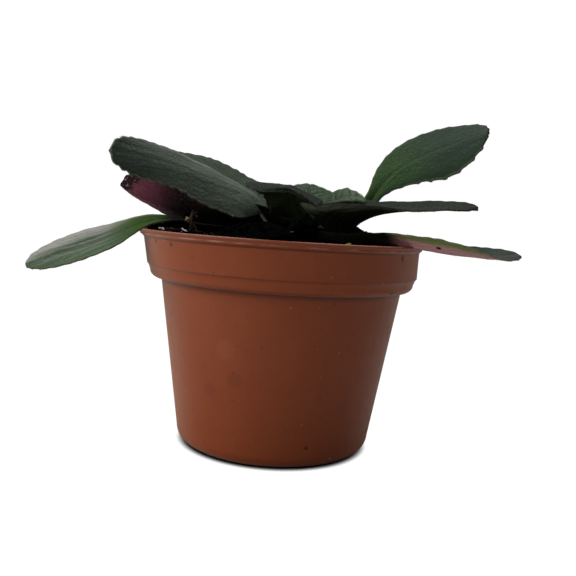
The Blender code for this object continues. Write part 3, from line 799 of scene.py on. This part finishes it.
def leaf_hairs(leaf, rng):
    """Short stiff hairs: a fringe along both margins, and a thin fleece on both skins."""
    shape = bmesh.new()
    bmesh.ops.create_cone(shape, cap_ends=True, segments=3, radius1=1, radius2=0, depth=1)
    bmesh.ops.translate(shape, verts=shape.verts, vec=(0, 0, 0.5))
    hairs = Scatter(shape)
    long = leaf["hair_length"]
    start = leaf["stalk_end"] * 0.3
    for number in range(round(leaf["length"] * leaf["fringe"])):
        share = rng.uniform(start, 0.998)
        across = rng.choice((-1.0, 1.0))
        foot = leaf_surface(leaf, share, across * 0.995, rng.random() < 0.5)
        out = (foot - leaf_surface(leaf, share, across * 0.9, True)).normalized()
        add_hair(hairs, rng, foot, out, 0.4, long * 0.5, long * 1.2)
    for number in range(round(leaf["length"] * leaf["fleece"])):
        share = rng.uniform(start, 0.99)
        across = rng.uniform(-0.97, 0.97)
        top = rng.random() < 0.7
        foot = leaf_surface(leaf, share, across, top)
        ahead = leaf_surface(leaf, min(1.0, share + 0.01), across, top) - foot
        aside = leaf_surface(leaf, share, across + 0.02, top) - foot
        normal = aside.cross(ahead).normalized() * (1 if top else -1)
        direction = normal + ahead.normalized() * 0.5
        add_hair(hairs, rng, foot, direction, 0.3, long * 0.4, long * 0.9)
    return hairs.bm


# Lists run from the root to the tip, shares are of the leaf's length, and pairs of leaf halves
# are left, then right, as seen from the root. The first keys shape the leaf: headings, rises,
# rolls and folds in degrees, and widths, curl, puff and quilt in mm. teeth are (depth, pitch).
# Above, the blade goes from base to tip under grey clouds and streaks, with deep in its veins,
# rib on its midrib and frost on its fuzz. margin_shading and rim are (strength, colour), and
# margin_shading lays a band of painted shade or painted highlight along either half. stalk is
# (in its channel, at its lit margin, a painted highlight over pale hairs). Below, under goes
# from one colour to the other over under_change, with under_edge at the margins. blade is where
# the blade's skin takes over from the stalk's, where that isn't at stalk_end. scorch is where the
# tip has died, and spot is a speck, in mm from the midrib and the root. tone is painted shade: how
# bright the root, the middle and the tip are kept. crown and under_crown are how much the crown's
# painted shade darkens each skin, and stalk_shade is where the stalk, running along the soil,
# goes dark in painted shade.
OLD = dict(
    blunt=0.5, stalk_width=6.0, folds=((18, 4, 4), (18, 4, 4)), scales=((1, 1), (1, 1)),
    teeth=((0.6, 4.6), (0.6, 4.6)), tooth_lean=1.5, curl=((0, 0), (0, 0)),
    waviness=0.8, quilt=0.05, puff=0.0, veins=13, vein_slant=0.3, vein_width=0.3, veined=0.15,
    base=(0.045, 0.08, 0.034), tip=(0.044, 0.062, 0.047), grey=(0.085, 0.105, 0.088), cloud=0.35,
    streak=0.3, deep=(0.016, 0.026, 0.017), rib=(0.075, 0.1, 0.07), frost=(0.26, 0.29, 0.25),
    fuzz=(0.6, 0.72), hairs=0.35, margin_shading=((0, (0, 0, 0)), (0, (0, 0, 0))),
    margin_reach=(0.35, 0.95), rim=(0.55, (0.17, 0.17, 0.12)),
    stalk=((0.03, 0.06, 0.012), (0.13, 0.15, 0.09)), stalk_lit=(-3, -2),
    under=((0.05, 0.06, 0.03), (0.11, 0.12, 0.08)), under_change=(0.1, 0.9),
    under_edge=(0.2, (0.1, 0.05, 0.05)), under_reach=(0.5, 0.84), under_rib=(0.14, 0.13, 0.09),
    scorch=(2, 3), spot=(-99, 0), tone=(1, 1, 1), crown=0.94, under_crown=0.94, stalk_shade=(-1, -2),
    hair_length=0.8, fringe=5, fleece=9)
YOUNG = dict(
    OLD, vein_slant=0.15, vein_width=0.6, veined=0.6, base=(0.056, 0.112, 0.044),
    frost=(0.42, 0.5, 0.4), fuzz=(0.55, 0.61), hairs=0.5, hair_length=1.0)
LEAVES = {
    "leaf_left_drooping": dict(
        OLD, root=(4.0, -2.0, 78.6), heading=(197, 190, 206), rise=(9, 1, 9, -27, -23, -18),
        roll=(-1, 2, 17, 26), folds=((19, 6, 10), (20, 3, 5)), length=99.5, width=25.5,
        widest=0.73, stalk_end=0.41, stalk_width=5.5, scales=((1, 1, 0.7, 1, 1), (1, 1)),
        teeth=((0.5, 5.0), (0.35, 5.5)), base=(0.045, 0.08, 0.032), tip=(0.086, 0.116, 0.078),
        grey=(0.24, 0.27, 0.225), streak=0.75, deep=(0.026, 0.05, 0.028), blade=(0.58, 0.74),
        margin_shading=((0.45, (0.05, 0.11, 0.03)), (0.8, (0.38, 0.37, 0.34))), margin_reach=(0.1, 0.8),
        stalk=((0.036, 0.078, 0.013), (0.24, 0.28, 0.17)), stalk_lit=(-0.2, 0.6),
        stalk_shade=(0.53, 0.46)),
    # Its near-black stalk channel is painted shade.
    "leaf_upper_left": dict(
        OLD, root=(5.1, -6.4, 81.6), heading=(140, 145, 206, 213, 222, 247),
        rise=(-9, 48, 15, 15, 5, 1), roll=(18, 16, 38, 48, 66, 84),
        folds=((3, -12, -24, -7, -16), (5, -22, -9, -12, -2)), length=87.7, width=23.9,
        widest=0.37, stalk_end=0.21, stalk_width=7.0, blunt=0.38,
        scales=((0.97, 1.2, 0.92, 1.02), (1, 0.96, 0.96, 1)), teeth=((0.65, 4.4), (0.4, 4.8)),
        tooth_lean=1.0, quilt=0.02, veined=0.05, base=(0.094, 0.122, 0.082), tip=(0.078, 0.103, 0.082),
        grey=(0.15, 0.17, 0.15), streak=0.6, deep=(0.03, 0.044, 0.033),
        margin_shading=((0.85, (0.036, 0.078, 0.026)), (0.6, (0.24, 0.24, 0.22))),
        margin_reach=(0.8, 1.0), rim=(0.75, (0.25, 0.22, 0.19)),
        stalk=((0.008, 0.011, 0.007), (0.17, 0.18, 0.15)), crown=0.4),
    # Its underside goes near-black towards the root: painted shade.
    "leaf_left_purple": dict(
        OLD, root=(4.2, 4.6, 83.6), heading=(168, 167, 183, 181), rise=(6, -7, 8, 19, 28),
        roll=(-38, -20, -28, -32), folds=((21, 11, 13), (2, 11, 14)), length=72.7,
        width=22.8, widest=0.57, stalk_end=0.06, stalk_width=7.0, blunt=0.36,
        scales=((0.84, 0.68, 0.82, 1.23, 1.48, 1.48), (1.2, 1.02, 0.97, 1.04, 0.98)),
        hairs=0.6, under=((0.006, 0.0035, 0.003), (0.215, 0.056, 0.09)),
        under_change=(0.64, 0.92), under_edge=(0.3, (0.05, 0.02, 0.025)),
        under_rib=(0.08, 0.03, 0.036), scorch=(0.93, 0.965)),
    "leaf_back_left": dict(
        OLD, root=(7.2, 4.2, 85.6), heading=(149, 150), rise=(25, 15, 21, 16), roll=(18, 19, 27),
        folds=((15, 2, 3), (17, 2, 3)), length=75.0, width=25.7, widest=0.54,
        stalk_end=0.05, scales=((1.2, 1.1, 1, 1), (1, 1)), quilt=0.12, veined=0.2,
        base=(0.06, 0.095, 0.046), tip=(0.055, 0.08, 0.048), fuzz=(0.52, 0.68),
        tone=(0.42, 0.55, 0.8)),
    "leaf_front_arched": dict(
        OLD, root=(9.2, -5.4, 85.2), heading=(-130, -113, -102, -95, -76), rise=(22, 44, -4, -1, -14),
        roll=(-15, -17, 6, -11), folds=((-2, -30, -24, -25), (-8, -33, -4, -4)),
        length=52.9, width=27.2, widest=0.52, stalk_end=0.1, stalk_width=5.0, blunt=0.42,
        scales=((0.96, 0.94, 1.05, 0.87), (0.72, 0.94, 0.68, 0.99, 0.98)), quilt=0.1,
        base=(0.034, 0.066, 0.046), tip=(0.024, 0.046, 0.034), grey=(0.05, 0.088, 0.05),
        frost=(0.16, 0.25, 0.15), fuzz=(0.5, 0.66), under=((0.26, 0.42, 0.16), (0.24, 0.26, 0.16)),
        under_change=(0.3, 0.6), tone=(0.19, 0.19, 0.23), crown=0.5, under_crown=0.6),
    "leaf_young_back": dict(
        YOUNG, root=(11.0, 4.2, 86.0), heading=(98, 89), rise=(43, 22, 21), roll=(0, -4),
        folds=((24, 7, -4), (24, 8, -1)), length=30.8, width=20.3, widest=0.61,
        stalk_end=0.03, blunt=0.4, scales=((1.2, 1.01, 1.04, 1), (1.5, 0.97, 1, 1)),
        veins=7, quilt=0.5, puff=1.0, tip=(0.058, 0.11, 0.046), grey=(0.062, 0.12, 0.052),
        tone=(0.54, 0.6, 0.74), fringe=16, fleece=40),
    "leaf_young_right": dict(
        YOUNG, root=(15.6, 0.4, 87.2), heading=(-24, 14), rise=(57, 27, 2), roll=(3, -2),
        folds=((40, 28), (19, -12)), length=16.5, width=23.3, widest=0.39,
        stalk_end=0.04, stalk_width=4.5, blunt=0.42,
        scales=((1.2, 1.12, 1.03, 0.96), (1.34, 1.04, 0.89, 0.99)), veins=6, quilt=0.4, puff=0.9,
        tip=(0.12, 0.175, 0.098), grey=(0.066, 0.124, 0.054), tone=(0.42, 0.52, 0.9), crown=0.3,
        fringe=18, fleece=55),
    "leaf_upper_right": dict(
        OLD, root=(17.0, 2.8, 81.7), heading=(48, -34), rise=(11, 58, 25, 22), roll=(-46, -42),
        folds=((22, 3, -11), (19, -6, -8)), length=80.5, width=32.5, widest=0.79,
        stalk_end=0.27, stalk_width=8.2, teeth=((0.5, 5.0), (0.85, 7.2)), tooth_lean=3.4,
        base=(0.06, 0.135, 0.032), tip=(0.033, 0.057, 0.037), grey=(0.058, 0.082, 0.057),
        rib=(0.065, 0.098, 0.054), margin_shading=((0, (0, 0, 0)), (0.7, (0.018, 0.042, 0.018))),
        tone=(1, 0.95, 0.78)),
    # Its dark underside is painted shade.
    "leaf_right_level": dict(
        OLD, root=(15.0, -5.6, 80.8), heading=(-47, -13, -8, -9), rise=(23, 31, 6, 4, 2),
        roll=(-33, -14, -1), folds=((53, 15, -5, 0, 7, 21), (74, 37, 19, 5, -1, -17)),
        length=58.0, width=31.3, widest=0.29, stalk_end=0.05, stalk_width=7.0,
        scales=((0.96, 0.87, 1.06), (1.51, 1.06, 1.04)),
        curl=((0, 0), (1.5, 2.5, 0.6, 0, 0)), veins=20, vein_width=0.7, veined=0.9,
        base=(0.04, 0.074, 0.032), tip=(0.046, 0.062, 0.044), grey=(0.06, 0.085, 0.054),
        fuzz=(0.54, 0.68), hairs=0.25, under=((0.02, 0.028, 0.011), (0.05, 0.058, 0.034)),
        under_edge=(1.0, (0.4, 0.52, 0.34)), under_reach=(0.7, 0.9), tone=(1, 0.27, 0.38),
        crown=0.1, under_crown=0.42),
    # Its underside is dark green at the root, partly its own green and partly painted shade.
    "leaf_right_drooping": dict(
        OLD, root=(13.6, -6.8, 79.7), heading=(-42, -40, -17, 6, 8), rise=(4, 4, -9, -5, 8),
        roll=(56, -6, -7, -14), folds=((31, 2, 9, 5), (18, 13, 29, 31, 15, -3)),
        length=75.4, width=18.7, widest=0.71, stalk_end=0.12,
        scales=((1, 1), (1, 1, 1.12, 1.18, 0.92)), under=((0.02, 0.03, 0.01), (0.72, 0.37, 0.38)),
        under_change=(0.27, 0.42), under_edge=(1.0, (0.23, 0.31, 0.09)), spot=(4.0, 46.0)),
    "leaf_back_right": dict(
        OLD, root=(16.2, 5.8, 79.0), heading=(48, 56), rise=(8, 1, -8, -18), roll=(0, 0),
        length=64.0, width=23.0, widest=0.68, stalk_end=0.34),
    "leaf_back_middle": dict(
        OLD, root=(11.0, 6.8, 79.8), heading=(98, 92), rise=(12, 9, 3, -4), roll=(0, 0),
        length=66.0, width=24.0, widest=0.64, stalk_end=0.26),
    "leaf_back_low_left": dict(
        OLD, root=(5.0, 5.4, 78.8), heading=(134, 122), rise=(8, 6, -4, -12), roll=(4, 4),
        length=76.0, width=25.0, widest=0.66, stalk_end=0.3),
}
for number, (name, leaf) in enumerate(LEAVES.items()):
    leaf["seed"] = number + 1.0
    leaf["stations"] = midrib_line(leaf)
    leaf["rims"] = (rim_line(leaf, False), rim_line(leaf, True))
    new_piece(name + "_blade", leaf_mesh(leaf), leaf_finish(name + "_skin", leaf), name, 55)
    new_piece(name + "_hairs", leaf_hairs(leaf, random.Random(number + 20)), hair_finish)

# Dry leaf stalk and yellow leaf tip
# What is left of an old leaf stands in the soil at the left: a thin, dark brown stalk with a
# straw-coloured, shrivelled bud. A small yellow-green leaf tip pokes out at the front right.
dry_stalk, place, shader = new_finish("dry_stalk", Specular_IOR_Level=0.3)
fibre = place.noise(0.5, 4, (1, 1, 0.2))
from_left = place.axis(0) * (1 / MM)
height = place.axis(2) * (1 / MM)
straw = fibre.step(0.35, 0.68).between((0.016, 0.007, 0.005), (0.07, 0.027, 0.018)).coats(
    (from_left.step(-33.6, -34.2) * 0.85, (0.27, 0.24, 0.1)),
    # Painted shade: the stalk and its lumps go near-black below about 82 mm.
    (height.step(83.2, 81.0) * 0.93, (0.004, 0.003, 0.002)))
feed(shader, straw, 0.75 + fibre * 0.15, fibre.bump(0.15))
stalk_foot = Vector((-33.4, -19.0, 0))
stalk_foot.z = soil_height(stalk_foot.x, stalk_foot.y) - 0.3
# sideways, up and radius (mm) of rings along the stalk
STALK_RINGS = ((0.0, 0.0, 1.0), (0.2, 1.6, 0.8), (0.3, 3.2, 0.6), (0.2, 5.2, 0.55), (0.4, 7.4, 0.6),
               (0.9, 8.3, 0.4))
stalk_mesh = bmesh.new()
rings = []
for sideways, up, radius in STALK_RINGS:
    at = Matrix.Translation((stalk_foot + Vector((sideways, 0, up))) * MM)
    made = bmesh.ops.create_circle(stalk_mesh, segments=14, radius=radius * MM, matrix=at)
    rings.append(made["verts"])
for lower_ring, upper_ring in zip(rings, rings[1:]):
    edges = [e for e in stalk_mesh.edges if all(v in lower_ring for v in e.verts)
             or all(v in upper_ring for v in e.verts)]
    bmesh.ops.bridge_loops(stalk_mesh, edges=edges)
for ring in (rings[0], rings[-1]):
    stalk_mesh.faces.new(ring)
bmesh.ops.subdivide_edges(stalk_mesh, edges=stalk_mesh.edges, cuts=1, use_grid_fill=True)
for vert in stalk_mesh.verts:
    spot = vert.co / MM
    vert.co += Vector((noise.noise(spot), noise.noise(spot + Vector((9, 0, 0))), 0)) * 0.3 * MM
bmesh.ops.recalc_face_normals(stalk_mesh, faces=stalk_mesh.faces)
# sideways from the foot, height and width (mm) of the shrivelled lumps on and beside the stalk
STALK_LUMPS = ((-0.9, 83.3, 1.9), (-0.6, 82.5, 1.2), (0.5, 81.6, 1.5), (1.2, 80.7, 1.7),
               (0.4, 80.2, 1.5), (0.6, 84.6, 1.2), (1.2, 85.3, 1.3), (1.9, 84.5, 1.0))
lumps = Scatter(pebble(3.0, 3, 1.1))
rng = random.Random(8)
for sideways, lump_z, width in STALK_LUMPS:
    foot = (stalk_foot.x + sideways, stalk_foot.y, lump_z)
    lumps.add(foot, turned(rng), (width, width * 0.8, width * 0.7))
lumps.pour_into(stalk_mesh)
new_piece("dry_stalk", stalk_mesh, dry_stalk, "dry_leaf_stalk", 60)

yellow_tissue, place, shader = new_finish("yellow_tissue", Specular_IOR_Level=0.4)
veil = place.noise(0.8, 4)
yellow = veil.step(0.35, 0.65).between((0.16, 0.2, 0.02), (0.42, 0.46, 0.06))
feed(shader, yellow, 0.5 + veil * 0.2, veil.bump(0.2))
tip_place = Vector((20.9, -39.5, 0))
tip_place.z = soil_height(tip_place.x, tip_place.y) + 1.1
tip_mesh = pebble(7.0, 4, 0.5)
bmesh.ops.scale(tip_mesh, verts=tip_mesh.verts, vec=Vector((3.4, 1.6, 2.6)) * MM)
bmesh.ops.translate(tip_mesh, verts=tip_mesh.verts, vec=tip_place * MM)
new_piece("yellow_tip", tip_mesh, yellow_tissue, "yellow_leaf_tip", 60)

# Floor, light and camera
# A white sweep in a light tent: one soft panel at the left and one above, a bright back and a
# dim front. The camera stood low in front of the pot, and was turned a little on its axis.
floor_white, place, shader = new_finish("floor_white", Roughness=0.9, Specular_IOR_Level=0.0,
                                        Base_Color=(0.42, 0.42, 0.42, 1))
# Painted shadow: the white glow the camera sees on the floor fades where the pot stands close.
contact = place.node("ShaderNodeAmbientOcclusion", {"samples": 16}, {"Distance": 3.5 * MM}, "AO")
bright = place.node("ShaderNodeEmission", None, {"Strength": contact.step(0.15, 0.75) * 1.05})
to_camera = place.node("ShaderNodeLightPath", output="Is Camera Ray")
plain = Signal(place.tree, shader.outputs[0])
floor_look = place.node("ShaderNodeMixShader", None, {0: to_camera, 1: plain, 2: bright})
place.tree.links.new(floor_look.socket, place.tree.nodes["Material Output"].inputs["Surface"])
floor_sheet = bmesh.new()
bmesh.ops.create_grid(floor_sheet, x_segments=1, y_segments=1, size=3.0)
floor_data = new_mesh("floor", floor_sheet)
floor_data.materials.append(floor_white)
floor = new_object("floor", floor_data)
floor.location.z = -0.0001

studio = bpy.data.worlds.new("studio")
bpy.context.scene.world = studio
studio.use_nodes = True
tent = Signal(studio.node_tree)
direction = tent.node("ShaderNodeTexCoord", output="Generated")
to_camera = tent.node("ShaderNodeLightPath", output="Is Camera Ray")
lit = 0.05 + direction.axis(1).step(-0.3, 1.0) * 0.38 + direction.axis(2).step(0.1, 1.0) * 0.14
seen = tent.node("ShaderNodeBackground", None, {"Color": (1, 1, 1, 1), "Strength": 1.05})
unseen = tent.node("ShaderNodeBackground", None, {"Color": (1, 1, 1, 1), "Strength": lit})
sky = tent.node("ShaderNodeMixShader", None, {0: to_camera, 1: unseen, 2: seen})
tent.tree.links.new(sky.socket, tent.tree.nodes["World Output"].inputs["Surface"])


def soft_light(name, place, aim, size, power):
    """A square panel that looks at a point."""
    lamp = bpy.data.lights.new(name, "AREA")
    lamp.size = size
    lamp.energy = power
    panel = new_object(name, lamp)
    panel.location = place
    panel.rotation_euler = (Vector(aim) - Vector(place)).to_track_quat("-Z", "Y").to_euler()


soft_light("key", (-0.75, -0.3, 0.35), (0, 0, 0.05), 0.8, 4.5)
soft_light("top", (0.0, 0.25, 0.85), (0, 0, 0.05), 0.8, 6.5)

CAMERA_DISTANCE = 0.26789
CAMERA_HEIGHT = 0.086414
PITCH = 0.101
YAW = 0.01
ROLL = 0.067
FOCAL_PIXELS = 700.0
PHOTO_PIXELS = 576.0
ahead = Vector((math.sin(YAW) * math.cos(PITCH), math.cos(YAW) * math.cos(PITCH), -math.sin(PITCH)))
level = Vector((math.cos(YAW), -math.sin(YAW), 0))
upright = level.cross(ahead)
right = level * math.cos(ROLL) + upright * math.sin(ROLL)
up = upright * math.cos(ROLL) - level * math.sin(ROLL)
camera_data = bpy.data.cameras.new("camera")
camera_data.sensor_width = 36.0
camera_data.lens = FOCAL_PIXELS / PHOTO_PIXELS * camera_data.sensor_width
camera_data.clip_start = 0.01
camera = new_object("camera", camera_data)
turn = Matrix((right, up, -ahead)).transposed().to_4x4()
camera.matrix_world = Matrix.Translation((0, -CAMERA_DISTANCE, CAMERA_HEIGHT)) @ turn
bpy.context.scene.camera = camera
bpy.context.scene.view_settings.view_transform = "Standard"
